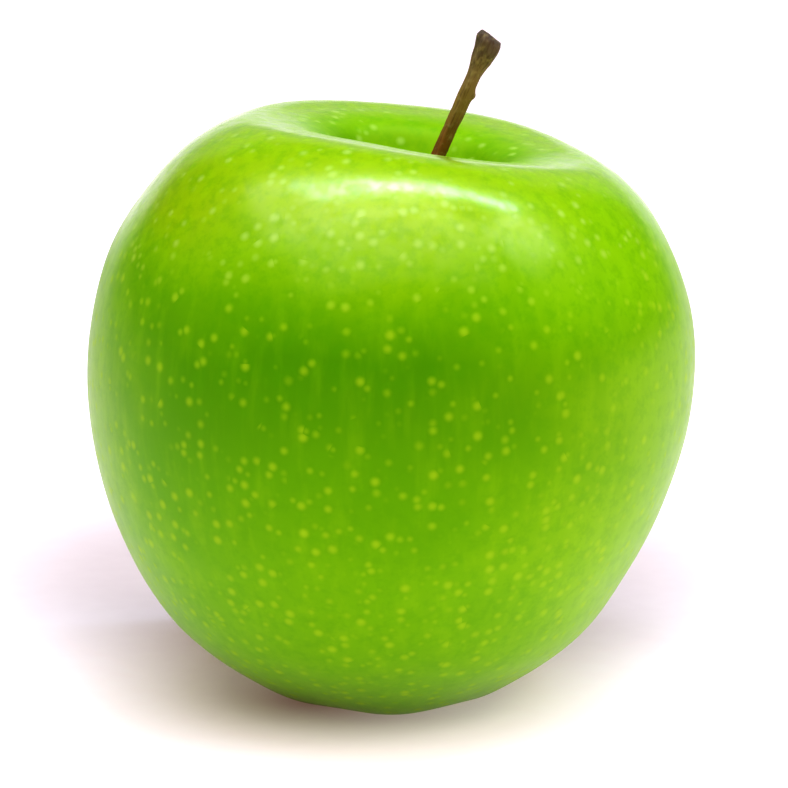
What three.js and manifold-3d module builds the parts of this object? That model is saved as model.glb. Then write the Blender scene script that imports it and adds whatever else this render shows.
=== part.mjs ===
// A green apple, picked with its stem and standing on its base.
//
// The fruit is one solid: a smooth outline turned about the core, then pushed into five gentle lobes
// and leaned a little to one side, as apples grow. The stem stands in the cavity on top. In the basin
// underneath are the dried remains of the flower: five sepals around a tuft of stamens.
//
// Millimetres, +Z up. The origin lies on the surface the apple rests on, under the middle of the fruit.

import * as THREE from "three";
import { mergeVertices } from "three/addons/utils/BufferGeometryUtils.js";
import Module from "manifold-3d";

// ------------------------------------------------------------ driving dimensions, millimetres and degrees

// Flank: radii from a point on the core, the first one steeply down, each next one a step higher.
const CORE_HEIGHT = 38.5;
const FLANK_RADII = [40, 39.4, 38.4, 38.6, 40.05, 42.1, 43.5];
const FLANK_LOWEST_ANGLE = -64;
const FLANK_ANGLE_STEP = 18;

// Crown, as radius and height: the round of the shoulder, the crest, the lip of the stem cavity, the wall
// of its funnel, the foot of the wall, and the floor where a socket holds the stem.
const SHOULDER = [24, 74.45];
const CREST = [17.5, 74.8];
const LIP = [12, 73.6];
const CAVITY_WALL = [9, 69.6];
const WALL_FOOT = [5.2, 63.6];
const CAVITY_FLOOR = 61;
const SOCKET_RADIUS = 1.6;
const SOCKET_DEPTH = 4;

// Basin underneath, as radius and height, with the narrow calyx tube in its roof.
const BASE_RADIUS = 11;
const BASIN_WALL = [6.8, 3.5];
const CALYX_RADIUS = 3.4;
const BASIN_ROOF = 6.3;
const TUBE_SHOULDER = [1.6, 8.05];
const TUBE_TOP = 8.8;

// Five lobes: they swell the crown by a share of its radius, and underneath they end in five feet with
// shallow grooves between them. The feet have settled into small flat spots.
const LOBES = 5;
const FIRST_LOBE_ANGLE = 60;
const CROWN_LOBE = 0.023;
const CROWN_STARTS = 0.3;
const CROWN_FULL = 0.9;
const GROOVE_DEPTH = 0.5;
const GROOVE_OUTER_RADIUS = 28;
const FLAT_SPOT_DEPTH = 0.3;

// Wider than the whole fruit: the size of the block that trims its feet flat.
const TRIM_SIZE = 100;

// Uneven growth: the crown leans, is fuller on one side, and its shoulders differ in height.
const CROWN_LEAN = 6.33;
const LEAN_FULL_HEIGHT = 31;
const FULL_SIDE = 0.008;
const SHOULDER_TILT = -0.48;
const SHOULDER_PITCH = -0.09;
const SHOULDER_SADDLE = -0.46;
const SHOULDER_TWIST = 0.18;
const SHOULDER_STARTS = 34;
const SHOULDER_FULL = 76;
const SHOULDER_INNER_RADIUS = 12;

// Stem: its foot is in the socket, and its tip is given from the middle of the crown's lean, across and
// up. The shank ends in a flare, cut on the slant. Shares are of the stem's length.
const STEM_RADIUS = 0.95;
const STEM_FOOT_RADIUS = 1.1;
const STEM_END_RADIUS = 1.8;
const STEM_FOOT_SHARE = 0.3;
const STEM_FLARE_SHARE = 0.84;
const STEM_END_SLANT = 12;
const STEM_CLEARANCE = 0.4;
const STEM_TIP = [13.5, 87.15];
const STEM_TIP_LEAN = 22;
const STEM_FOOT_HANDLE = 8;
const STEM_TIP_HANDLE = 14;

// Sepals, as reach from the middle of the calyx and height over the resting surface. They narrow and
// thin towards the tip.
const SEPALS = 5;
const SEPAL_WIDTH = 2.7;
const SEPAL_THICKNESS = 0.45;
const SEPAL_NARROWING = 0.85;
const SEPAL_THINNING = 0.4;
const SEPAL_CUP = 1.4;
const SEPAL_ROOT = [3.3, 5.8];
const SEPAL_WAIST = [2, 3.6];
const SEPAL_TIP = [5.4, 1.3];

// Stamens: threads from a small ring, every second one spread wider, their ends at uneven heights.
const STAMENS = 10;
const STAMEN_RADIUS = 0.2;
const STAMEN_ROOT_REACH = 0.65;
const STAMEN_REACHES = [1.7, 0.9];
const STAMEN_END_HEIGHTS = [2.6, 3.1, 3.6];
const STAMEN_RING_RADIUS = 1.1;
const STAMEN_RING_HEIGHT = 7.2;
const STAMEN_RING_THICKNESS = 0.5;

// How finely the curved surfaces are faceted.
const FRUIT_SIDES = 60;
const FRUIT_ROWS = 51;
const STEM_SIDES = 12;
const STEM_ROWS = 22;
const SEPAL_ROWS = 8;
const STAMEN_SIDES = 6;
const STAMEN_ROWS = 2;
const RING_SIDES = 16;
const MERGE_DISTANCE = 1e-4;

const wasm = await Module();
wasm.setup();

const X_AXIS = new THREE.Vector3(1, 0, 0);
const Y_AXIS = new THREE.Vector3(0, 1, 0);
const Z_AXIS = new THREE.Vector3(0, 0, 1);
const radians = THREE.MathUtils.degToRad;
const smoothstep = THREE.MathUtils.smoothstep;

// ------------------------------------------------------------ materials

function material(colour, roughness) {
  return new THREE.MeshStandardMaterial({ color: colour, roughness, metalness: 0 });
}

const skin = material(0x74ad0c, 0.3);
const bark = material(0x6b4a20, 0.8);
const driedLeaf = material(0x6d5f3a, 0.9);
const driedStamen = material(0x3d2a18, 0.9);

// ------------------------------------------------------------ closed solids for joining and cutting

function asSolid(geometry) {
  geometry.deleteAttribute("normal");
  geometry.deleteAttribute("uv");
  const joined = mergeVertices(geometry, MERGE_DISTANCE);
  return new wasm.Manifold(new wasm.Mesh({
    numProp: 3,
    vertProperties: joined.attributes.position.array,
    triVerts: new Uint32Array(joined.index.array),
  }));
}

function fromSolid(solid) {
  const mesh = solid.getMesh();
  const geometry = new THREE.BufferGeometry();
  geometry.setAttribute("position", new THREE.BufferAttribute(mesh.vertProperties, 3));
  geometry.setIndex(new THREE.BufferAttribute(mesh.triVerts, 1));
  return geometry;
}

function named(name, geometry, finish) {
  const mesh = new THREE.Mesh(geometry, finish);
  mesh.name = name;
  return mesh;
}

// ------------------------------------------------------------ how the fruit grew out of round

// Turns a point of the even, upright body into one of the lobed and leaning body.
function grow(point) {
  const around = Math.atan2(point.y, point.x);
  const radius = Math.hypot(point.x, point.y);
  const above = point.z - CORE_HEIGHT;
  const steepness = above / Math.max(Math.hypot(radius, above), MERGE_DISTANCE);
  const lobe = Math.cos(LOBES * (around - radians(FIRST_LOBE_ANGLE)));

  const crownSwell = CROWN_LOBE * smoothstep(steepness, CROWN_STARTS, CROWN_FULL) * lobe;
  const swell = 1 + crownSwell + FULL_SIDE * steepness * Math.cos(around);

  const shoulder = smoothstep(point.z, SHOULDER_STARTS, SHOULDER_FULL)
    * smoothstep(radius, 0, SHOULDER_INNER_RADIUS);
  const shoulderRise = shoulder * (SHOULDER_TILT * Math.cos(around)
    + SHOULDER_PITCH * Math.sin(around)
    + SHOULDER_SADDLE * Math.cos(2 * around)
    + SHOULDER_TWIST * Math.sin(2 * around));
  const groove = above > 0 ? 0 : smoothstep(radius, CALYX_RADIUS, BASE_RADIUS)
    * (1 - smoothstep(radius, BASE_RADIUS, GROOVE_OUTER_RADIUS));
  const grooveRise = GROOVE_DEPTH * groove * (1 - lobe) / 2;

  const lean = radians(CROWN_LEAN) * smoothstep(point.z, 0, LEAN_FULL_HEIGHT);
  const across = point.x * swell;
  const up = above + shoulderRise + grooveRise;
  return new THREE.Vector3(
    across * Math.cos(lean) + up * Math.sin(lean),
    point.y * swell,
    CORE_HEIGHT - across * Math.sin(lean) + up * Math.cos(lean) - FLAT_SPOT_DEPTH,
  );
}

// ------------------------------------------------------------ fruit

// The turned outline, from the top of the calyx tube, round the outside, to the bottom of the socket.
function fruitOutline() {
  const basin = [[0, TUBE_TOP], TUBE_SHOULDER, [CALYX_RADIUS, BASIN_ROOF], BASIN_WALL, [BASE_RADIUS, 0]];
  const flank = FLANK_RADII.map((reach, step) => {
    const angle = radians(FLANK_LOWEST_ANGLE + step * FLANK_ANGLE_STEP);
    return [reach * Math.cos(angle), CORE_HEIGHT + reach * Math.sin(angle)];
  });
  const crown = [SHOULDER, CREST, LIP, CAVITY_WALL, WALL_FOOT, [SOCKET_RADIUS, CAVITY_FLOOR]];
  const knots = [...basin, ...flank, ...crown].map(([r, z]) => new THREE.Vector2(r, z));
  const outline = new THREE.SplineCurve(knots).getPoints(FRUIT_ROWS);
  outline[0].x = 0;
  outline.push(new THREE.Vector2(SOCKET_RADIUS, CAVITY_FLOOR - SOCKET_DEPTH));
  outline.push(new THREE.Vector2(0, CAVITY_FLOOR - SOCKET_DEPTH));
  return outline;
}

function makeFruit() {
  const turned = new THREE.LatheGeometry(fruitOutline(), FRUIT_SIDES).rotateX(Math.PI / 2);
  const place = turned.attributes.position;
  const point = new THREE.Vector3();
  for (let i = 0; i < place.count; i++) {
    const grown = grow(point.fromBufferAttribute(place, i));
    place.setXYZ(i, grown.x, grown.y, grown.z);
  }
  const under = new THREE.BoxGeometry(TRIM_SIZE, TRIM_SIZE, TRIM_SIZE).translate(0, 0, -TRIM_SIZE / 2);
  return named("fruit", fromSolid(asSolid(turned).subtract(asSolid(under))), skin);
}

// ------------------------------------------------------------ pieces that follow a curve

// Extrudes a section of unit size and lays it along a flat curve. The section's x runs across the curve's
// plane, and sizeAt(t) gives its half width across and its half depth in the plane. A slant turns the
// far end: the side that the section's y points to runs ahead.
function layAlong(curve, across, section, rows, sizeAt, slant = 0, slantStarts = 0) {
  const straight = new THREE.ExtrudeGeometry(section, { depth: 1, steps: rows, bevelEnabled: false });
  const place = straight.attributes.position;
  for (let i = 0; i < place.count; i++) {
    const t = THREE.MathUtils.clamp(place.getZ(i), 0, 1);
    const [wide, deep] = sizeAt(t);
    const along = curve.getTangentAt(t);
    const inward = new THREE.Vector3().crossVectors(along, across);
    const offset = place.getY(i) * deep;
    const at = curve.getPointAt(t)
      .addScaledVector(across, place.getX(i) * wide)
      .addScaledVector(inward, offset)
      .addScaledVector(along, slant * smoothstep(t, slantStarts, 1) * offset);
    place.setXYZ(i, at.x, at.y, at.z);
  }
  return straight;
}

function roundSection(sides) {
  const corners = Array.from({ length: sides }, (_, i) => {
    const angle = (2 * Math.PI * i) / sides;
    return new THREE.Vector2(Math.cos(angle), Math.sin(angle));
  });
  return new THREE.Shape(corners);
}

// ------------------------------------------------------------ stem

// Round and nearly straight, a little thicker at the foot, and flared where it broke from the spur.
function makeStem() {
  const floor = grow(new THREE.Vector3(0, 0, CAVITY_FLOOR));
  const rise = grow(new THREE.Vector3(0, 0, CAVITY_FLOOR + 1)).sub(floor).normalize();
  const foot = floor.clone().addScaledVector(rise, STEM_CLEARANCE - SOCKET_DEPTH);
  const tip = new THREE.Vector3(STEM_TIP[0], 0, STEM_TIP[1]);
  const tipRise = Z_AXIS.clone().applyAxisAngle(Y_AXIS, radians(STEM_TIP_LEAN));
  const curve = new THREE.CubicBezierCurve3(
    foot,
    foot.clone().addScaledVector(rise, STEM_FOOT_HANDLE),
    tip.clone().addScaledVector(tipRise, -STEM_TIP_HANDLE),
    tip,
  );
  const sizeAt = (t) => {
    const shank = STEM_FOOT_RADIUS + (STEM_RADIUS - STEM_FOOT_RADIUS) * smoothstep(t, 0, STEM_FOOT_SHARE);
    const radius = shank + (STEM_END_RADIUS - STEM_RADIUS) * smoothstep(t, STEM_FLARE_SHARE, 1);
    return [radius, radius];
  };
  const slant = Math.tan(radians(STEM_END_SLANT));
  const section = roundSection(STEM_SIDES);
  return named("stem", layAlong(curve, Y_AXIS, section, STEM_ROWS, sizeAt, slant, STEM_FLARE_SHARE), bark);
}

// ------------------------------------------------------------ calyx

// Both directions that a piece of the calyx needs: away from its middle, and across.
function facing(angle) {
  return [X_AXIS.clone().applyAxisAngle(Z_AXIS, angle), Y_AXIS.clone().applyAxisAngle(Z_AXIS, angle)];
}

// A dried leaflet: a shallow channel in section, widest near its root, with its tip curled outwards.
function makeSepal(number) {
  const section = new THREE.Shape();
  section.moveTo(-1, -1);
  section.quadraticCurveTo(0, SEPAL_CUP - 1, 1, -1);
  section.lineTo(1, 1);
  section.quadraticCurveTo(0, SEPAL_CUP + 1, -1, 1);
  section.closePath();

  const [outward, across] = facing(radians(FIRST_LOBE_ANGLE + (number - 0.5) * (360 / SEPALS)));
  const at = ([reach, height]) => outward.clone().multiplyScalar(reach).setZ(height);
  const curve = new THREE.QuadraticBezierCurve3(at(SEPAL_ROOT), at(SEPAL_WAIST), at(SEPAL_TIP));
  const sizeAt = (t) => [
    (SEPAL_WIDTH / 2) * (1 - SEPAL_NARROWING * t * t),
    (SEPAL_THICKNESS / 2) * (1 - SEPAL_THINNING * t),
  ];
  return named(`sepal_${number}`, layAlong(curve, across, section, SEPAL_ROWS, sizeAt), driedLeaf);
}

// Withered threads that spread from a small ring in the calyx tube.
function makeStamenTuft() {
  const ring = new THREE.CylinderGeometry(
    STAMEN_RING_RADIUS, STAMEN_RING_RADIUS, STAMEN_RING_THICKNESS, RING_SIDES);
  let tuft = asSolid(ring.rotateX(Math.PI / 2).translate(0, 0, STAMEN_RING_HEIGHT));
  for (let i = 0; i < STAMENS; i++) {
    const [outward, across] = facing((2 * Math.PI * i) / STAMENS);
    const reach = STAMEN_REACHES[i % STAMEN_REACHES.length];
    const endHeight = STAMEN_END_HEIGHTS[i % STAMEN_END_HEIGHTS.length];
    const line = new THREE.LineCurve3(
      outward.clone().multiplyScalar(STAMEN_ROOT_REACH).setZ(STAMEN_RING_HEIGHT),
      outward.clone().multiplyScalar(reach).setZ(endHeight),
    );
    const sizeAt = () => [STAMEN_RADIUS, STAMEN_RADIUS];
    const thread = layAlong(line, across, roundSection(STAMEN_SIDES), STAMEN_ROWS, sizeAt);
    tuft = tuft.add(asSolid(thread));
  }
  return named("stamen_tuft", fromSolid(tuft), driedStamen);
}

// ------------------------------------------------------------ assembly

const fruit = makeFruit();
const calyx = new THREE.Group();
const calyxMiddle = grow(new THREE.Vector3(0, 0, BASIN_ROOF));
calyx.position.set(calyxMiddle.x, calyxMiddle.y, -FLAT_SPOT_DEPTH);
for (let number = 1; number <= SEPALS; number++) calyx.add(makeSepal(number));
calyx.add(makeStamenTuft());

// The fruit leans, so the whole apple is shifted to bring the middle of its box over the origin.
const middle = new THREE.Box3().setFromObject(fruit).getCenter(new THREE.Vector3());
const apple = new THREE.Group();
apple.position.set(-middle.x, -middle.y, 0);
apple.add(fruit, makeStem(), calyx);

const model = new THREE.Group();
model.add(apple);

export default model;
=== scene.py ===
# %% [markdown]
# # A green apple
# The frame holds the real sizes: a fruit, its stem, and the dried remains of the flower underneath.
# This lesson gives each of them its surface. The apple is one leaning, five-lobed body with waxy skin,
# so most of the work goes into one smooth shape and one rich material.

# %% Load the frame
import math

import bmesh
import bpy
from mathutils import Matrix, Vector, noise


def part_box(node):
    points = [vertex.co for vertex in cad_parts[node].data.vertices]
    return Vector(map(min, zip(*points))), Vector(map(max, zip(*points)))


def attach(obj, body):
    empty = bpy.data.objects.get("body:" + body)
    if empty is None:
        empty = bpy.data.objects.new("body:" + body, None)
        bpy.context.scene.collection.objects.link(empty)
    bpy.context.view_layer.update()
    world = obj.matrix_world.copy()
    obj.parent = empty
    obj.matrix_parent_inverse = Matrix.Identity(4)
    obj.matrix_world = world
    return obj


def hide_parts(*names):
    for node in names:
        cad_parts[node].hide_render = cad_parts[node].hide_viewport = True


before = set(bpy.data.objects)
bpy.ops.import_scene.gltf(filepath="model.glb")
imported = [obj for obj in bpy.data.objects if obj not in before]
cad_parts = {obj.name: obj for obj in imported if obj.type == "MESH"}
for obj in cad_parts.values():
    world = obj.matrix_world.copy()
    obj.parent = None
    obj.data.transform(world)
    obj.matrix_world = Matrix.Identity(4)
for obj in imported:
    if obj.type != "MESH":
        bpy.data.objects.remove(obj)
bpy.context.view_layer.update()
MM = 0.001
print("nodes", sorted(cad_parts))

# %% [markdown]
# ## Camera
# A long lens from 650 millimetres away keeps the outline calm, with little perspective.
# The camera looks down by twelve degrees, enough to see across the stem cavity. A camera is placed by
# two points, where it stands and what it looks at. `to_track_quat` turns the line between them into a
# rotation, with -Z pointing ahead and Y up, which is how every Blender camera looks.

# %% Place the camera
CAMERA_TARGET = Vector((0.38, 0, 39.94)) * MM
CAMERA_DISTANCE = 650 * MM
CAMERA_ELEVATION = math.radians(12)
CAMERA_LENS = 226.4

to_camera = Vector((0, -math.cos(CAMERA_ELEVATION), math.sin(CAMERA_ELEVATION)))
camera_data = bpy.data.cameras.new("camera")
camera_data.lens = CAMERA_LENS
camera_data.sensor_width = 36
camera_data.dof.use_dof = False
camera = bpy.data.objects.new("camera", camera_data)
bpy.context.scene.collection.objects.link(camera)
camera.location = CAMERA_TARGET + to_camera * CAMERA_DISTANCE
camera.rotation_euler = (-to_camera).to_track_quat("-Z", "Y").to_euler()
bpy.context.scene.camera = camera
print("camera at", [round(value, 3) for value in camera.location])

# %% [markdown]
# ## Helpers for making pieces
# A bmesh is Blender's editable mesh in memory. Each piece below is shaped as a bmesh in millimetres, then
# scaled to metres and written into a mesh data-block once. The object stays at the origin, so the place
# of a piece is in its vertices, and a material on object coordinates stays put when the piece moves.

# %% Write a bmesh as a piece
def as_piece(name, work, stands_for):
    bmesh.ops.scale(work, vec=(MM, MM, MM), verts=work.verts)
    mesh = bpy.data.meshes.new(name)
    work.to_mesh(mesh)
    work.free()
    mesh.polygons.foreach_set("use_smooth", [True] * len(mesh.polygons))
    piece = bpy.data.objects.new(name, mesh)
    bpy.context.scene.collection.objects.link(piece)
    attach(piece, "root")
    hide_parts(stands_for)
    print(name, "has", len(mesh.polygons), "faces")
    return piece


# %% Ease between two limits
def ease(value, low, high):
    share = min(max((value - low) / (high - low), 0), 1)
    return share * share * (3 - 2 * share)


print("a quarter of the way is eased to", ease(0.25, 0, 1))

# %% The middle of a node's box, in millimetres
def middle_of(node):
    low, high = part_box(node)
    return (low + high) / 2 / MM


print("middle of the fruit's box", [round(value, 1) for value in middle_of("fruit")])

# %% [markdown]
# ## Turning an outline
# Fruit is close to round, so it starts on a lathe: half an outline, drawn from the axis out and back to
# the axis, is spun around Z. `use_merge` joins the last copy to the first. The two ends lie on the axis,
# where spin leaves a pile of vertices in one place, so these are merged as well, and only then are the
# normals recalculated.

# %% Spin a half outline into a closed body
def turned(outline, sides):
    work = bmesh.new()
    verts = [work.verts.new((radius, 0, height)) for radius, height in outline]
    edges = [work.edges.new(pair) for pair in zip(verts, verts[1:])]
    bmesh.ops.spin(work, geom=verts + edges, axis=(0, 0, 1), cent=(0, 0, 0),
                   steps=sides, angle=2 * math.pi, use_merge=True)
    bmesh.ops.remove_doubles(work, verts=work.verts, dist=1e-4)
    bmesh.ops.recalc_face_normals(work, faces=work.faces)
    return work


# %% Round off a line of points
def through(points, steps):
    """A Catmull-Rom curve: smooth, and it passes through every point."""
    points = [Vector(point) for point in points]
    ends = [points[0], *points, points[-1]]
    curve = []
    for before, here, there, after in zip(ends, ends[1:], ends[2:], ends[3:]):
        leave, arrive = (there - before) / 2, (after - here) / 2
        for step in range(steps):
            t = step / steps
            curve.append(here + leave * t + (3 * (there - here) - 2 * leave - arrive) * t ** 2
                         + (2 * (here - there) + leave + arrive) * t ** 3)
    return [*curve, points[-1]]


# %% [markdown]
# ## The fruit's outline
# An apple's half outline has three stretches. The basin underneath holds the calyx. The flank is given
# by its distance from a point on the core, at even angles, which shows at once how full the shoulders are.
# The cavity on top runs down a funnel, and the skin closes around the stem. A curve through these few
# points gives the rest.

# %% Draw the outline
CORE = 38.5
FLANK_RADII = (40, 39.4, 38.4, 38.6, 40.05, 42.1, 43.5)
FLANK_LOWEST_ANGLE, FLANK_ANGLE_STEP = -64, 18
BASE_RADIUS, CALYX_RADIUS, BASIN_ROOF = 11, 3.4, 6.3
SOCKET_RADIUS, SOCKET_FLOOR = 1.13, 57
ROWS_PER_STRETCH = 12

basin = [(0, 8.8), (1.6, 8.05), (CALYX_RADIUS, BASIN_ROOF), (6.8, 3.5), (BASE_RADIUS, 0)]
flank = []
for step, reach in enumerate(FLANK_RADII):
    angle = math.radians(FLANK_LOWEST_ANGLE + step * FLANK_ANGLE_STEP)
    flank.append((reach * math.cos(angle), CORE + reach * math.sin(angle)))
crown = [(24, 74.45), (17.5, 74.8), (12, 73.6), (9, 69.6), (5.2, 63.6), (1.7, 60.9), (SOCKET_RADIUS, 60.2)]
fruit_outline = through(basin + flank + crown, ROWS_PER_STRETCH)
fruit_outline += [Vector((SOCKET_RADIUS, SOCKET_FLOOR)), Vector((0, SOCKET_FLOOR))]
print("outline points", len(fruit_outline))

# %% [markdown]
# ## Growing out of round
# A turned body looks machined. A real apple leans, one shoulder is higher, and five lobes run from the
# stem cavity to the five feet around the basin. `grow` says where each point of the even body goes. It
# works in millimetres, and every term fades in with `ease`, so that no crease shows in the reflections.

# %% Where a point of the even body grows to
LOBES, FIRST_LOBE = 5, math.radians(60)
CROWN_LOBE, CROWN_LOBE_FADE, FULL_SIDE = 0.023, (0.3, 0.9), 0.008
SHOULDER_TILT, SHOULDER_PITCH, SHOULDER_SADDLE, SHOULDER_TWIST = -0.48, -0.09, -0.46, 0.18
SHOULDER_HEIGHTS, SHOULDER_RADII = (34, 76), (0, 12)
GROOVE_DEPTH, GROOVE_END, FLAT_SPOT = 0.5, 28, 0.3
CROWN_LEAN, LEAN_FULL_HEIGHT = math.radians(6.33), 31


def grow(point):
    around = math.atan2(point.y, point.x)
    radius = math.hypot(point.x, point.y)
    above = point.z - CORE
    steepness = above / max(math.hypot(radius, above), 1e-6)
    lobe = math.cos(LOBES * (around - FIRST_LOBE))

    crown_lobe = CROWN_LOBE * ease(steepness, *CROWN_LOBE_FADE) * lobe
    swell = 1 + crown_lobe + FULL_SIDE * steepness * math.cos(around)
    uneven = (SHOULDER_TILT * math.cos(around) + SHOULDER_PITCH * math.sin(around)
              + SHOULDER_SADDLE * math.cos(2 * around) + SHOULDER_TWIST * math.sin(2 * around))
    uneven *= ease(point.z, *SHOULDER_HEIGHTS) * ease(radius, *SHOULDER_RADII)
    groove = ease(radius, CALYX_RADIUS, BASE_RADIUS) * (1 - ease(radius, BASE_RADIUS, GROOVE_END))
    groove *= above < 0
    lean = CROWN_LEAN * ease(point.z, 0, LEAN_FULL_HEIGHT)

    across = point.x * swell
    up = above + uneven + GROOVE_DEPTH * groove * (1 - lobe) / 2
    return Vector((
        across * math.cos(lean) + up * math.sin(lean),
        point.y * swell,
        CORE - across * math.sin(lean) + up * math.cos(lean) - FLAT_SPOT,
    ))


print("the top of the core line grows to", [round(value, 1) for value in grow(Vector((0, 0, 2 * CORE)))])

# %% [markdown]
# ## The fruit's surface
# Skin over flesh is never quite even. `noise.noise` gives a smooth random value for a place, so two
# scales of it, a broad swell and a finer ripple, move each vertex a tenth of a millimetre or less. That is
# too little to see in the outline, but a reflection shows it at once. The five feet rest flat, so
# nothing may go below zero.

# %% Turn and grow the fruit
FRUIT_SIDES = 220
SWELLS = ((16, 0.10), (5, 0.025))

fruit_work = turned(fruit_outline, FRUIT_SIDES)
for vert in fruit_work.verts:
    vert.co = grow(vert.co)
own_box = [[pick(vert.co[axis] for vert in fruit_work.verts) for axis in range(2)] for pick in (min, max)]
own_middle = [sum(ends) / 2 for ends in zip(*own_box)]
shift = middle_of("fruit") - Vector((*own_middle, 0))
shift.z = 0
bmesh.ops.translate(fruit_work, vec=shift, verts=fruit_work.verts)
fruit_work.normal_update()
for vert in fruit_work.verts:
    ripple = sum(depth * noise.noise(vert.co / size) for size, depth in SWELLS)
    vert.co += vert.normal * ripple
    vert.co.z = max(vert.co.z, 0)
fruit = as_piece("apple_fruit", fruit_work, "fruit")
print("shifted by", [round(value, 2) for value in shift])

# %% [markdown]
# ## Laying a tube along a curve
# The stem and the threads of the calyx are tubes. With an angle of zero and a step along Z, `spin` copies
# a circle upwards and leaves a straight tube of even rows. Each row is then moved onto its place on a
# curve and given its own size, which is how a rope of clay is bent into shape.

# %% Make a straight tube of unit height and radius
def tube(sides, rows):
    work = bmesh.new()
    made = bmesh.ops.create_circle(work, segments=sides, radius=1)["verts"]
    edges = {edge for vert in made for edge in vert.link_edges}
    bmesh.ops.spin(work, geom=[*made, *edges], axis=(0, 0, 1), cent=(0, 0, 0),
                   dvec=(0, 0, 1 / rows), steps=rows, angle=0)
    bmesh.ops.remove_doubles(work, verts=work.verts, dist=1e-5)
    rims = [edge for edge in work.edges if edge.is_boundary]
    bmesh.ops.holes_fill(work, edges=rims, sides=0)
    bmesh.ops.recalc_face_normals(work, faces=work.faces)
    return work


# %% A point and a direction on a curve with four handles
def along_bezier(handles, t):
    a, b, c, d = handles
    s = 1 - t
    point = a * s ** 3 + 3 * b * s * s * t + 3 * c * s * t * t + d * t ** 3
    ahead = (b - a) * s * s + (c - b) * 2 * s * t + (d - c) * t * t
    return point, ahead.normalized()


# %% [markdown]
# ## The stem
# The stem is a woody stalk. It stands in its socket with the lean of the crown, bends over to one side,
# and flares where it broke away from the spur. Six fibres run along it as low ridges, it has one bud scar
# near the end, and the broken face is a rough, sunken disc. All of that is done to the rows of one tube,
# and the place along and around the stem is kept as an attribute for its material. Places along the stem
# are shares of its length, from 0 at the foot to 1 at the end.

# %% Shape the stem
STEM_SIDES, STEM_ROWS = 40, 150
STEM_RADIUS, STEM_FOOT_RADIUS, STEM_END_RADIUS = 0.93, 0.98, 1.75
STEM_TIP, STEM_TIP_LEAN = (13.5, 87.15), math.radians(22)
STEM_FOOT_HANDLE, STEM_TIP_HANDLE = 8, 14
STEM_END_SLANT = math.tan(math.radians(12))
CAVITY_FLOOR, STEM_SUNK = 61, 3.6
SHANK_FROM, FLARE_FROM, FLARE_TO, ROUNDED_FROM, ROUNDED_BY = 0.3, 0.86, 0.99, 0.985, 0.25
FIBRES, FIBRE_DEPTH, FIBRE_WANDER, FIBRE_WAVES = 6, 0.05, 2, 5
ROUGHNESS = ((0.12, 1.6, 12, 0), (0.05, 4, 30, 7))
ROUGH_BEGINS, ROUGHER = (0.1, 0.3), (0.85, 0.95)
SCAR_AT, SCAR_LENGTH, SCAR_WIDTH, SCAR_HEIGHT = 0.80, 0.016, 0.5, 0.38
BROKEN_END, END_GRIT, END_GRIT_FINENESS = ((0.18, 0.05), (0.3, -0.12), (0.35, -0.25)), 0.12, 1.5
LENGTH_STEPS = 50

stem_floor = grow(Vector((0, 0, CAVITY_FLOOR)))
stem_rise = (grow(Vector((0, 0, CAVITY_FLOOR + 1))) - stem_floor).normalized()
stem_foot = stem_floor - stem_rise * STEM_SUNK
stem_tip = Vector((STEM_TIP[0], 0, STEM_TIP[1]))
stem_ahead = Vector((math.sin(STEM_TIP_LEAN), 0, math.cos(STEM_TIP_LEAN)))
stem_handles = [stem_foot, stem_foot + stem_rise * STEM_FOOT_HANDLE,
                stem_tip - stem_ahead * STEM_TIP_HANDLE, stem_tip]
stem_work = tube(STEM_SIDES, STEM_ROWS)
stem_grain = stem_work.verts.layers.float_vector.new("grain")
stem_steps = [along_bezier(stem_handles, step / LENGTH_STEPS)[0] for step in range(LENGTH_STEPS + 1)]
STEM_LENGTH = sum((there - here).length for here, there in zip(stem_steps, stem_steps[1:]))
for vert in stem_work.verts:
    t, around = vert.co.z, math.atan2(vert.co.y, vert.co.x)
    point, ahead = along_bezier(stem_handles, t)
    side = Vector((0, 1, 0))
    right = side.cross(ahead)
    shank = STEM_FOOT_RADIUS + (STEM_RADIUS - STEM_FOOT_RADIUS) * ease(t, 0, SHANK_FROM)
    flare = (STEM_END_RADIUS - STEM_RADIUS) * ease(t, FLARE_FROM, FLARE_TO)
    radius = shank + flare - ROUNDED_BY * ease(t, ROUNDED_FROM, 1)
    place = Vector((math.cos(around), math.sin(around), 0))
    wander = FIBRE_WANDER * noise.noise(Vector((0, 0, t * FIBRE_WAVES)))
    fibres = FIBRE_DEPTH * math.sin(FIBRES * around + wander)
    rough = sum(depth * noise.noise(place * fine + Vector((lot, 0, t * fine_along)))
                for depth, fine, fine_along, lot in ROUGHNESS)
    scar = SCAR_HEIGHT * math.exp(-((t - SCAR_AT) / SCAR_LENGTH) ** 2 - (around / SCAR_WIDTH) ** 2)
    radius *= 1 + (fibres + rough * (1 + ease(t, *ROUGHER))) * ease(t, *ROUGH_BEGINS)
    radius += scar
    offset = (right * vert.co.x + side * vert.co.y) * radius
    slant = -STEM_END_SLANT * ease(t, FLARE_FROM, 1) * vert.co.x * radius
    vert[stem_grain] = Vector((vert.co.x * radius, vert.co.y * radius, t * STEM_LENGTH))
    vert.co = point + offset + ahead * slant + shift
end_face = max(stem_work.faces, key=lambda face: face.calc_center_median().z if len(face.verts) > 4 else 0)
for thickness, depth in BROKEN_END:
    bmesh.ops.inset_region(stem_work, faces=[end_face], thickness=thickness, depth=0)
    for vert in end_face.verts:
        vert.co += stem_ahead * (depth + END_GRIT * noise.noise(vert.co * END_GRIT_FINENESS))
stem = as_piece("apple_stem", stem_work, "stem")
print("stem length", round(STEM_LENGTH, 1), "mm")

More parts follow.
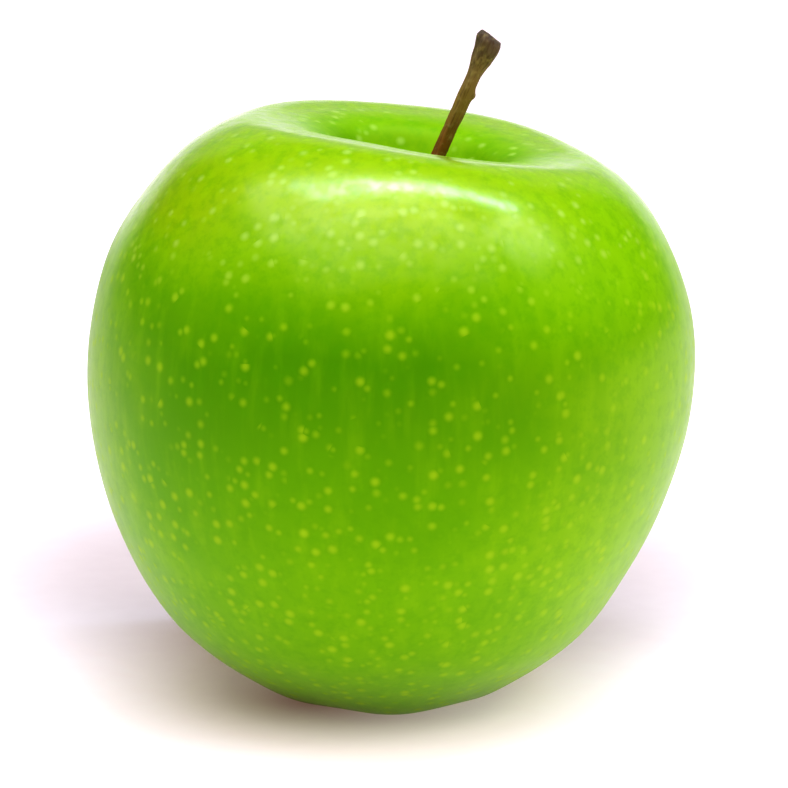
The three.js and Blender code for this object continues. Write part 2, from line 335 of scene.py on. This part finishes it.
# %% [markdown]
# ## The dried flower
# What is left of the blossom sits in the basin underneath. The five sepals have shrivelled to leaflets
# five to six millimetres long: they hang from the rim of the calyx tube, narrow to a point, and curl
# outwards. Each is a tube pressed flat. Its section is a shallow channel, the edges are ragged, and a
# different slice of the noise makes each one different.

# %% Shape a sepal
SEPALS, SEPAL_SIDES, SEPAL_ROWS = 5, 32, 48
SEPAL_ROOT, SEPAL_WAIST, SEPAL_TIP = (3.3, 5.8), (2.0, 3.6), (5.4, 1.3)
SEPAL_HALF_WIDTH, SEPAL_HALF_THICKNESS, SEPAL_CUP, SEPAL_LENGTH = 1.3, 0.2, 0.28, 6
NARROWING, THINNING, FLATTENING = 0.85, 0.5, 0.6
RAGGEDNESS, WRINKLE, CURL, VEIN_DEPTH, VEIN_FINENESS = 0.22, 0.14, 0.5, 0.05, 9

calyx_middle = grow(Vector((0, 0, BASIN_ROOF))) + shift
calyx_middle.z = -FLAT_SPOT


def sepal_work(angle, lot):
    outward = Vector((math.cos(angle), math.sin(angle), 0))
    sideways = Vector((-math.sin(angle), math.cos(angle), 0))
    root, waist, tip = (outward * reach + Vector((0, 0, height))
                        for reach, height in (SEPAL_ROOT, SEPAL_WAIST, SEPAL_TIP))
    handles = [root, root.lerp(waist, 2 / 3), tip.lerp(waist, 2 / 3), tip]
    work = tube(SEPAL_SIDES, SEPAL_ROWS)
    grain = work.verts.layers.float_vector.new("grain")
    for vert in work.verts:
        t, wide, deep = vert.co.z, vert.co.x, vert.co.y
        point, ahead = along_bezier(handles, t)
        inward = ahead.cross(sideways)
        ragged = 1 + RAGGEDNESS * noise.noise(Vector((lot * 9 + (wide > 0) * 5, 0, t * 9)))
        half_width = SEPAL_HALF_WIDTH * (1 - NARROWING * t * t) * ragged
        channel = SEPAL_CUP * (1 - FLATTENING * t) * (1 - wide * wide)
        wrinkle = WRINKLE * noise.noise(Vector((wide * 1.2, lot * 7, t * 5)))
        curl = CURL * noise.noise(Vector((lot * 11, 3, 0))) * wide * t * t
        depth = deep * SEPAL_HALF_THICKNESS * (1 - THINNING * t) + channel + wrinkle + curl
        depth += VEIN_DEPTH * math.cos(wide * VEIN_FINENESS) * (deep < 0)
        vert[grain] = Vector((wide * half_width, depth, t * SEPAL_LENGTH))
        vert.co = calyx_middle + point + sideways * wide * half_width + inward * depth
    return work


sepals = []
for number in range(1, SEPALS + 1):
    angle = FIRST_LOBE + (number - 0.5) * 2 * math.pi / SEPALS
    work = sepal_work(angle, number)
    sepals.append(as_piece(f"apple_sepal_{number}", work, f"sepal_{number}"))

# %% [markdown]
# The stamens were the pollen-bearing threads. Ten of them still stand in a ring in the calyx tube,
# every second one spread wider, each with the shrunken head that held the pollen. A bmesh can take in
# another mesh, so the threads are made one by one and collected in one piece.

# %% Shape the tuft of stamens
STAMENS, STAMEN_SIDES, STAMEN_ROWS = 10, 10, 24
STAMEN_RADIUS, STAMEN_TAPER, STAMEN_KINK, STAMEN_BOW = 0.16, 0.35, 0.12, (0.3, 0.4)
STAMEN_ROOT_REACH, STAMEN_REACHES, STAMEN_END_HEIGHTS = 0.65, (1.7, 0.9), (2.6, 3.1, 3.6)
HEAD_AT, HEAD_LENGTH, HEAD_SWELL = 0.95, 0.05, 0.14
RING_OUTLINE = [(0, 6.95), (1.0, 6.95), (1.1, 7.05), (1.1, 7.35), (1.0, 7.45), (0, 7.45)]
RING_MIDDLE, RING_SIDES = 7.2, 32

tuft_work = turned(RING_OUTLINE, RING_SIDES)
bmesh.ops.translate(tuft_work, vec=calyx_middle, verts=tuft_work.verts)
for number in range(STAMENS):
    angle = 2 * math.pi * number / STAMENS
    outward = Vector((math.cos(angle), math.sin(angle), 0))
    root = outward * STAMEN_ROOT_REACH + Vector((0, 0, RING_MIDDLE))
    end = outward * STAMEN_REACHES[number % 2] + Vector((0, 0, STAMEN_END_HEIGHTS[number % 3]))
    bow = outward * STAMEN_BOW[0] + Vector((0, 0, STAMEN_BOW[1]))
    handles = [root, root.lerp(end, 0.33) + bow, root.lerp(end, 0.66) - bow, end]
    thread = tube(STAMEN_SIDES, STAMEN_ROWS)
    for vert in thread.verts:
        t = vert.co.z
        point, ahead = along_bezier(handles, t)
        side = ahead.cross(outward).normalized()
        kink = STAMEN_KINK * noise.noise(Vector((number * 3, 0, t * 5))) * t
        head = HEAD_SWELL * math.exp(-((t - HEAD_AT) / HEAD_LENGTH) ** 2)
        radius = STAMEN_RADIUS * (1 - STAMEN_TAPER * t) + head
        across_thread = side * vert.co.x + side.cross(ahead) * vert.co.y
        vert.co = calyx_middle + point + side * kink + across_thread * radius
    bmesh.ops.recalc_face_normals(thread, faces=thread.faces)
    thread_mesh = bpy.data.meshes.new("thread")
    thread.to_mesh(thread_mesh)
    thread.free()
    tuft_work.from_mesh(thread_mesh)
    bpy.data.meshes.remove(thread_mesh)
tuft = as_piece("apple_stamen_tuft", tuft_work, "stamen_tuft")

# %% [markdown]
# ## Writing shader maths as Python
# A node tree is arithmetic drawn as boxes. Wrapping a node's output in a small class lets Python's own
# signs add the Math nodes, so a mask can be written the way it is thought: `1 - mask`. Whatever is fed
# to a socket is either such a value, which becomes a link, or a plain number or colour, which is set.

# %% A socket that Python can calculate with
class Value:
    def __init__(self, socket):
        self.socket = socket

    def math(self, operation, first, second):
        node = self.socket.id_data.nodes.new("ShaderNodeMath")
        node.operation = operation
        feed(node.inputs[0], first)
        feed(node.inputs[1], second)
        return Value(node.outputs[0])

    def __add__(self, other):
        return self.math("ADD", self, other)

    def __sub__(self, other):
        return self.math("SUBTRACT", self, other)

    def __rsub__(self, other):
        return self.math("SUBTRACT", other, self)

    def __mul__(self, other):
        return self.math("MULTIPLY", self, other)

    __radd__ = __add__
    __rmul__ = __mul__


def feed(socket, value):
    if isinstance(value, Value):
        socket.id_data.links.new(value.socket, socket)
    elif socket.type == "RGBA":
        socket.default_value = (*value, 1)
    else:
        socket.default_value = value


# %% A material under construction
class Finish:
    def __init__(self, name):
        self.material = bpy.data.materials.new(name)
        self.material.use_nodes = True
        self.tree = self.material.node_tree
        self.shader = self.tree.nodes["Principled BSDF"]

    def node(self, kind, settings, output=0, **sockets):
        """Adds any node. Its settings come first, because they decide which sockets it has."""
        node = self.tree.nodes.new("ShaderNode" + kind)
        for name, value in settings.items():
            setattr(node, name, value)
        for name, value in sockets.items():
            wanted = name.replace("_", " ")
            feed(next(s for s in node.inputs if s.name == wanted and s.enabled), value)
        return Value([s for s in node.outputs if s.enabled][output])

    def set(self, **sockets):
        for name, value in sockets.items():
            feed(self.shader.inputs[name.replace("_", " ")], value)

    def mix(self, factor, first, second):
        return self.node("Mix", {"data_type": "RGBA"}, Factor=factor, A=first, B=second)

    def noise(self, place, size, detail=2, roughness=0.5):
        return self.node("TexNoise", {}, Vector=place, Scale=1 / size, Detail=detail, Roughness=roughness)

    def fade(self, value, low, high):
        """0 below low, 1 above high, and smooth between them."""
        return self.node("MapRange", {"interpolation_type": "SMOOTHSTEP"}, Value=value,
                         From_Min=low, From_Max=high)

    def vector_math(self, operation, first, second, output=0):
        node = self.tree.nodes.new("ShaderNodeVectorMath")
        node.operation = operation
        feed(node.inputs[0], first)
        feed(node.inputs[1], second)
        return Value(node.outputs[output])

    def millimetres(self):
        """The place on the piece, with its metres turned into millimetres."""
        return self.vector_math("MULTIPLY", self.node("TexCoord", {}, output=3), (1 / MM,) * 3)

    def grain(self):
        """The place around and along a tube, as the shaping wrote it down."""
        return self.node("Attribute", {"attribute_name": "grain"}, output=1)

    def bump(self, relief, depth):
        self.set(Normal=self.node("Bump", {}, Height=relief, Distance=depth, Strength=1))

    def ramp(self, value, stops):
        """Colours by position between 0 and 1. A new ramp has two stops, so the first two are moved."""
        node = self.tree.nodes.new("ShaderNodeValToRGB")
        elements = node.color_ramp.elements
        for position, _ in stops[2:]:
            elements.new(position)
        for element, (position, colour) in zip(elements, stops):
            element.position = position
            element.color = (*colour, 1)
        feed(node.inputs[0], value)
        return Value(node.outputs[0])


# %% [markdown]
# ## Waxy skin
# The skin is a thin green layer with the flesh glowing through it, under a film of wax. Around the
# middle it is a deeper green, which is painted shade: the dark band between the light from above and
# the light from the floor. The shoulders and the two cheeks are nearly yellow, partly as skin that got
# more sun and partly as painted light, and the stem cavity is a darker green than the shoulders. Fine
# streaks run from stem to base, and pale lenticels, the pores the fruit breathes through, dot it all
# over. They stand closer together near the base.
#
# The material works on object coordinates turned into millimetres, so each size below can be measured
# on a fruit with a ruler.

# %% Skin colour by height
# From 0.45 to 0.64 of the height the green is darker, which is painted shade. The yellow near the top is
# partly sunned skin and partly painted light.
SKIN_BY_HEIGHT_WITH_PAINTED_SHADE = [
    (0.00, (0.19, 0.44, 0.001)),
    (0.12, (0.19, 0.46, 0.001)),
    (0.30, (0.18, 0.46, 0.001)),
    (0.45, (0.13, 0.40, 0.001)),
    (0.55, (0.105, 0.35, 0.001)),
    (0.64, (0.105, 0.34, 0.001)),
    (0.72, (0.17, 0.42, 0.001)),
    (0.79, (0.27, 0.51, 0.001)),
    (0.87, (0.35, 0.53, 0.001)),
    (1.00, (0.33, 0.52, 0.001)),
]
RAMP_HEIGHT, RAMP_PATCH, RAMP_WANDER = 80, 18, 0.14

skin = Finish("waxy_skin")
place = skin.millimetres()
height = skin.node("SeparateXYZ", {}, output=2, Vector=place)
unevenness = (skin.noise(place, RAMP_PATCH) - 0.5) * RAMP_WANDER
ground = skin.ramp(height * (1 / RAMP_HEIGHT) + unevenness, SKIN_BY_HEIGHT_WITH_PAINTED_SHADE)
print("skin colours by height", len(SKIN_BY_HEIGHT_WITH_PAINTED_SHADE))

# %% Cheeks and stem cavity
# The yellower cheeks on the right and left are partly skin that got more sun and partly painted light on
# the two sides.
SUN_AND_PAINTED_LIGHT_CHEEK, CHEEK_SHARE = (0.31, 0.59, 0.001), 0.8
CHEEK_PATCH, CHEEK_WANDER, CHEEK_TOP = 14, 30, (68, 77)
RIGHT_CHEEK, LEFT_CHEEK, LEFT_CALMER = (4, 40), (27, 41), 0.5
CAVITY_SKIN, CAVITY_SHARE, CAVITY_REACH = (0.17, 0.40, 0.001), 0.7, (17, 24)

across = skin.node("SeparateXYZ", {}, output=0, Vector=place)
wander = (skin.noise(place, CHEEK_PATCH) - 0.5) * CHEEK_WANDER
right_cheek = skin.fade(across + wander, *RIGHT_CHEEK)
left_cheek = skin.fade(wander * LEFT_CALMER - across, *LEFT_CHEEK)
cheeks = right_cheek * CHEEK_SHARE + left_cheek * CHEEK_SHARE
ground = skin.mix(cheeks * (1 - skin.fade(height, *CHEEK_TOP)), ground, SUN_AND_PAINTED_LIGHT_CHEEK)
to_stem_floor = skin.vector_math("DISTANCE", place, tuple(stem_floor + shift), output=1)
in_cavity = 1 - skin.fade(to_stem_floor, *CAVITY_REACH)
ground = skin.mix(in_cavity * CAVITY_SHARE, ground, CAVITY_SKIN)
print("the stem cavity reaches", CAVITY_REACH[1], "mm from its floor")

# %% Streaks and flecks
PALE_STREAK, STREAK_SHARE = (0.40, 0.68, 0.01), 0.14
STREAK_WIDTH, STREAK_DRAWN_OUT, STREAK_EDGE = 2.0, (1, 1, 0.16), (0.45, 0.75)
DARK_FLECK, FLECK_SHARE, FLECK_SIZE, FLECK_EDGE = (0.10, 0.36, 0.001), 0.28, 1.9, (0.42, 0.68)

drawn_out = skin.vector_math("MULTIPLY", place, STREAK_DRAWN_OUT)
streaks = skin.fade(skin.noise(drawn_out, STREAK_WIDTH, 3), *STREAK_EDGE)
flecks = skin.fade(skin.noise(place, FLECK_SIZE, 4, 0.65), *FLECK_EDGE)
ground = skin.mix(streaks * STREAK_SHARE, ground, PALE_STREAK)
ground = skin.mix(flecks * FLECK_SHARE, ground, DARK_FLECK)
print("streaks", STREAK_WIDTH, "mm wide, flecks", FLECK_SIZE, "mm")

# %% [markdown]
# A Voronoi texture scatters one point in each cell of space and gives the distance to the nearest. Where
# that distance is small there is a dot. The points lie anywhere in depth, so the skin cuts some dots in
# the middle and others near their edge, and big and small ones come about by themselves. Every point also
# brings random numbers along, and one of them decides whether its dot is left out, more often higher up.

# %% Lenticels
LENTICEL_CELL = 1.8
# The second lenticel colour is paler and whiter, a painted highlight for pores that sit in the gloss on
# the crown.
LENTICEL_COLOUR, LENTICEL_PAINTED_HIGHLIGHT = (0.44, 0.64, 0.02), (0.50, 0.68, 0.14)
SMALLEST_REACH, EXTRA_REACH, FLAT_MIDDLE = 0.30, 0.24, 0.1
FAINTEST, EXTRA_STRENGTH = 0.28, 0.34
THINNING_OUT, CROWDING, LEFT_OUT, PAINTED_HIGHLIGHT_HEIGHTS = (8, 62), 0.4, (0.26, 0.34), (56, 68)

dotted = skin.vector_math("MULTIPLY", place, (1 / LENTICEL_CELL,) * 3)
from_pore = skin.node("TexVoronoi", {}, Vector=dotted, Scale=1, Randomness=1)
pore_lot = skin.node("TexVoronoi", {}, output=1, Vector=dotted, Scale=1, Randomness=1)
lot = skin.node("SeparateColor", {}, Color=pore_lot)
chance = skin.node("SeparateColor", {}, output=1, Color=pore_lot)
crowded = CROWDING * (1 - skin.fade(height, *THINNING_OUT))
present = skin.fade(chance + crowded, *LEFT_OUT)
reach = SMALLEST_REACH + EXTRA_REACH * lot
lenticels = (1 - skin.fade(from_pore, reach * FLAT_MIDDLE, reach)) * present
# Higher up the lenticels turn to that paler colour: a painted highlight.
pore_colour_with_painted_highlight = skin.mix(skin.fade(height, *PAINTED_HIGHLIGHT_HEIGHTS), LENTICEL_COLOUR, LENTICEL_PAINTED_HIGHLIGHT)
ground = skin.mix(lenticels * (FAINTEST + EXTRA_STRENGTH * lot), ground, pore_colour_with_painted_highlight)
largest_lenticel = 2 * (SMALLEST_REACH + EXTRA_REACH) * LENTICEL_CELL
print("lenticels up to", round(largest_lenticel, 1), "mm across at their faint edge")

# %% [markdown]
# Around the stalk's foot the skin turns to russet, a thin cork that the fruit grows where the skin was
# stretched too fast. It runs out in uneven tongues. A fainter ring of it surrounds the calyx below. Each
# mask is a distance from a point on the skin, with noise added to fray its edge.

# %% Russet
RUSSET, FRAY_SIZE, FRAY_DEPTH = (0.22, 0.15, 0.035), 2.5, 7
STEM_RUSSET, STEM_RUSSET_SHARE = (2, 6.5), 0.75
CALYX_RUSSET, CALYX_RUSSET_SHARE = (3.5, 6.5), 0.6

calyx_place = tuple(grow(Vector((0, 0, BASIN_ROOF))) + shift)
uneven_edge = (skin.noise(place, FRAY_SIZE, 4, 0.6) - 0.5) * FRAY_DEPTH
from_stem = to_stem_floor + uneven_edge
from_calyx = skin.vector_math("DISTANCE", place, calyx_place, output=1) + uneven_edge
russet = (1 - skin.fade(from_stem, *STEM_RUSSET)) * STEM_RUSSET_SHARE
russet = russet + (1 - skin.fade(from_calyx, *CALYX_RUSSET)) * CALYX_RUSSET_SHARE
ground = skin.mix(russet, ground, RUSSET)
print("calyx at", [round(value, 1) for value in calyx_place])

# %% [markdown]
# The wax makes the gloss. A broad noise in the roughness breaks up the edge of a reflection, and a bump
# a fiftieth of a millimetre deep gives the fine orange-peel look. The wax is thickest on the crown, where
# nothing rubs it, so a clear and slightly patchy coat fades in there. The specular tint warms the gloss of
# the skin underneath.

# %% Wax
SKIN_ROUGHNESS, SKIN_BUMP = 0.34, 0.02 * MM
WAX_PATCH, WAX_UNEVENNESS = 6, 0.16
PORES_ROUGHER, RUSSET_ROUGHER, CAVITY_ROUGHER = 0.12, 0.25, 0.15
PORE_RELIEF, PEEL_SIZE, PEEL_RELIEF, DIMPLE_SIZE, DIMPLE_RELIEF = 0.5, 1.1, 0.5, 3.2, 1.2
COAT_HEIGHTS, COAT_PATCH, COAT_EDGE, COAT_LEAST = (58, 68), 1.6, (0.35, 0.62), 0.5

uneven_wax = (skin.noise(place, WAX_PATCH, 3) - 0.5) * WAX_UNEVENNESS
rougher = lenticels * PORES_ROUGHER + russet * RUSSET_ROUGHER + in_cavity * CAVITY_ROUGHER
relief = lenticels * PORE_RELIEF + skin.noise(place, PEEL_SIZE, 3) * PEEL_RELIEF
relief = relief + skin.noise(place, DIMPLE_SIZE) * DIMPLE_RELIEF
patchy = COAT_LEAST + (1 - COAT_LEAST) * skin.fade(skin.noise(place, COAT_PATCH, 4, 0.65), *COAT_EDGE)
coat = skin.fade(height, *COAT_HEIGHTS) * patchy * (1 - in_cavity)
skin.set(Base_Color=ground, Roughness=SKIN_ROUGHNESS + uneven_wax + rougher)
skin.set(Coat_Weight=coat, Coat_Roughness=0.18, Coat_IOR=1.5)
skin.set(IOR=1.42, Specular_Tint=(1, 1, 0.1))
skin.bump(relief, SKIN_BUMP)
fruit.data.materials.append(skin.material)
print("skin nodes", len(skin.tree.nodes))

# %% [markdown]
# ## Stem bark
# The stalk is wood under a thin bark: red-brown near the foot, olive and tan further up, and grey where it
# was torn off. The shader reads the attribute `grain`, the place around and along the stem in millimetres.
# Squeezing that place along its length draws the noise out into fibres.

# %% Bark
BARK_BY_LENGTH = [
    (0.0, (0.22, 0.045, 0.006)),
    (0.45, (0.30, 0.065, 0.008)),
    (0.60, (0.34, 0.14, 0.022)),
    (0.75, (0.34, 0.21, 0.045)),
    (0.90, (0.30, 0.20, 0.075)),
    (1.0, (0.12, 0.085, 0.05)),
]
BARK_FIBRE, FIBRE_SHARE = (0.09, 0.035, 0.008), 0.5
FIBRE_WIDTH, FIBRE_DRAWN_OUT, FIBRE_EDGE = 0.35, (1, 1, 0.1), (0.45, 0.68)
BARK_PATCH, PATCH_SHARE, PATCH_SIZE, PATCH_EDGE = (0.46, 0.34, 0.12), 0.5, 0.8, (0.5, 0.72)
PATCH_HEIGHT, BARK_BUMP = 0.3, 0.12 * MM
TONE_PATCH, TONE_WANDER = 1.5, 0.12

bark = Finish("stem_bark")
grain = bark.grain()
along = bark.node("SeparateXYZ", {}, output=2, Vector=grain)
unevenness = (bark.noise(grain, TONE_PATCH) - 0.5) * TONE_WANDER
colour = bark.ramp(along * (1 / STEM_LENGTH) + unevenness, BARK_BY_LENGTH)
fibre = bark.noise(bark.vector_math("MULTIPLY", grain, FIBRE_DRAWN_OUT), FIBRE_WIDTH, 4, 0.6)
colour = bark.mix(bark.fade(fibre, *FIBRE_EDGE) * FIBRE_SHARE, colour, BARK_FIBRE)
patches = bark.fade(bark.noise(grain, PATCH_SIZE, 3), *PATCH_EDGE)
colour = bark.mix(patches * PATCH_SHARE, colour, BARK_PATCH)
bark.set(Base_Color=colour, Roughness=0.72, IOR=1.4)
bark.bump(fibre + patches * PATCH_HEIGHT, BARK_BUMP)
stem.data.materials.append(bark.material)
print("bark nodes", len(bark.tree.nodes))

# %% [markdown]
# ## Dry leaf and dry thread
# Both are dead plant matter: dull, without gloss. The sepals are grey-brown with darker veins along them
# and a pale felt of fine hairs, which a very small noise stands in for. The threads are a dark brown.

# %% Sepals
LEAF_DARK, LEAF_PALE, LEAF_FELT = (0.10, 0.062, 0.028), (0.24, 0.175, 0.085), (0.38, 0.33, 0.22)
VEIN_WIDTH, VEIN_DRAWN_OUT, VEIN_EDGE = 0.3, (1, 0.3, 0.12), (0.35, 0.65)
FELT_SIZE, FELT_EDGE, FELT_SHARE, FELT_HEIGHT, LEAF_BUMP = 0.12, (0.5, 0.7), 0.45, 0.6, 0.08 * MM

leaf = Finish("dry_sepal")
grain = leaf.grain()
veins = leaf.noise(leaf.vector_math("MULTIPLY", grain, VEIN_DRAWN_OUT), VEIN_WIDTH, 4, 0.6)
colour = leaf.mix(leaf.fade(veins, *VEIN_EDGE), LEAF_DARK, LEAF_PALE)
felt = leaf.fade(leaf.noise(grain, FELT_SIZE, 3, 0.7), *FELT_EDGE)
colour = leaf.mix(felt * FELT_SHARE, colour, LEAF_FELT)
leaf.set(Base_Color=colour, Roughness=0.9, IOR=1.35)
leaf.bump(veins + felt * FELT_HEIGHT, LEAF_BUMP)
for sepal in sepals:
    sepal.data.materials.append(leaf.material)
print("leaf nodes", len(leaf.tree.nodes))

# %% Stamens
THREAD_DARK, THREAD_PALE = (0.035, 0.02, 0.01), (0.13, 0.08, 0.035)
WORN_SIZE, WORN_EDGE, THREAD_BUMP = 0.5, (0.35, 0.65), 0.06 * MM

dry_thread = Finish("dry_stamen")
worn = dry_thread.noise(dry_thread.millimetres(), WORN_SIZE, 4, 0.6)
dry_thread.set(Base_Color=dry_thread.mix(dry_thread.fade(worn, *WORN_EDGE), THREAD_DARK, THREAD_PALE))
dry_thread.set(Roughness=0.85, IOR=1.35)
dry_thread.bump(worn, THREAD_BUMP)
tuft.data.materials.append(dry_thread.material)
print("thread nodes", len(dry_thread.tree.nodes))

# %% [markdown]
# ## A white floor with a painted glow and a painted shadow
# Food is often shown on a sheet of white acrylic with a lamp below. Here there is no lamp: the floor
# glows by itself, which is painted light. It lights the fruit from underneath, which keeps the shadow
# pale. The glow fades out in two round places, one behind the apple where its shadow falls and one around
# its foot, and that dip is a painted shadow; multiplying the two fades joins them without a seam. The
# floor itself is one flat square in a warm white, since green light from the fruit falls on it.

# %% Lay the floor
FLOOR_HALF = 4
# The floor's glow is painted light, and where it dips near the apple it is a painted shadow.
PAINTED_GLOW_IN_SHADOW, PAINTED_GLOW_AROUND = (0.06, 0.01, 0.0), (0.53, 0.475, 0.535)
FLOOR_DULL, FLOOR_PALE = (0.69, 0.59, 0.55), (0.73, 0.63, 0.59)
SHADE_MIDDLE, SHADE_EDGE = (-5, 65, 0), (32, 82)
FOOT_SHADOW_MIDDLE, FOOT_SHADOW_EDGE = (-10, -6, 0), (-14, 52)
GRIT_SIZE = 4

floor_work = bmesh.new()
bmesh.ops.create_grid(floor_work, x_segments=1, y_segments=1, size=FLOOR_HALF)
floor_mesh = bpy.data.meshes.new("floor")
floor_work.to_mesh(floor_mesh)
floor_work.free()
floor = bpy.data.objects.new("floor", floor_mesh)
bpy.context.scene.collection.objects.link(floor)

white = Finish("floor_white_painted_glow")
place = white.millimetres()
from_shade = white.vector_math("DISTANCE", place, SHADE_MIDDLE, output=1)
from_foot_shadow = white.vector_math("DISTANCE", place, FOOT_SHADOW_MIDDLE, output=1)
# Inside the two round places the glow dips: a painted shadow on the floor.
lit = white.fade(from_shade, *SHADE_EDGE) * white.fade(from_foot_shadow, *FOOT_SHADOW_EDGE)
grit = white.noise(place, GRIT_SIZE, 3)
glow = white.mix(lit, PAINTED_GLOW_IN_SHADOW, PAINTED_GLOW_AROUND)
white.set(Base_Color=white.mix(grit, FLOOR_DULL, FLOOR_PALE), Roughness=0.9)
white.set(Specular_IOR_Level=0, Emission_Color=glow, Emission_Strength=1)
floor.data.materials.append(white.material)
print("floor", 2 * FLOOR_HALF, "m wide")

# %% [markdown]
# ## Light
# An area light is a glowing sheet, and what its mirror image looks like depends on its radiance, the
# brightness of the sheet itself. Blender wants the power of the whole sheet instead, which is the
# radiance times pi times the area. Two softboxes hang over the apple with a gap between them. A narrow,
# bright, bluish strip runs along their far edge, turned a little from it, and ends in a wider, dimmer
# patch. The rest is a broad light in front, a pale wall behind and weak fills.
#
# Each panel has its place, the point it faces, its size, its radiance, its colour and its turn in degrees.

# %% Hang the lights
PANELS = {
    "softbox_left": ((-0.105, -0.07, 0.54), (-0.105, -0.07, 0), (0.61, 0.30), 1.75, (1, 1, 1), 0),
    "softbox_right": ((0.575, -0.07, 0.54), (0.575, -0.07, 0), (0.35, 0.30), 2.5, (1, 1, 1), 0),
    "strip": ((0.17, 0.042, 0.54), (0.17, 0.022, 0), (0.5, 0.055), 15.5, (0.5, 0.68, 1), 14),
    "strip_end": ((-0.15, -0.015, 0.54), (-0.15, -0.035, 0), (0.2, 0.12), 6, (0.5, 0.68, 1), 8),
    "front_sky": ((0.1, -0.9, 1.4), (0, 0, 0.04), (2.4, 1.0), 1.5, (1, 1, 1), 0),
    "wall_back": ((0, 1.0, 0.5), (0, 0, 0.3), (1.4, 1.0), 0.28, (1, 1, 1), 0),
    "wall_low": ((0, 1.0, 0.15), (0, 0, 0.1), (1.6, 0.3), 0.42, (1, 1, 1), 0),
    "fill_right": ((0.8, 0, 0.5), (0, 0, 0.04), (0.5, 0.8), 0.2, (1, 1, 1), 0),
    "fill_left": ((-0.8, 0, 0.5), (0, 0, 0.04), (0.5, 0.8), 0.1, (1, 1, 1), 0),
}

for name, (at, towards, size, radiance, colour, turn) in PANELS.items():
    panel = bpy.data.lights.new(name, "AREA")
    panel.shape = "RECTANGLE"
    panel.size, panel.size_y = size
    panel.energy = radiance * math.pi * size[0] * size[1]
    panel.color = colour
    light = bpy.data.objects.new(name, panel)
    bpy.context.scene.collection.objects.link(light)
    light.location = at
    light.rotation_euler = (Vector(towards) - Vector(at)).to_track_quat("-Z", "Y").to_euler()
    light.rotation_euler.rotate_axis("Z", math.radians(turn))
print("panels of light", len(PANELS))

# %% [markdown]
# A little even light from all around stands in for the room. The colours go through Blender's plain view
# with a stronger contrast, which brings the floor to a clean white.

# %% Surroundings and view
ROOM_LIGHT = 0.015

world = bpy.data.worlds.new("studio")
bpy.context.scene.world = world
world.use_nodes = True
background = world.node_tree.nodes["Background"]
background.inputs["Color"].default_value = (1, 1, 1, 1)
background.inputs["Strength"].default_value = ROOM_LIGHT
bpy.context.scene.view_settings.view_transform = "Standard"
bpy.context.scene.view_settings.look = "High Contrast"
print("room light", ROOM_LIGHT)
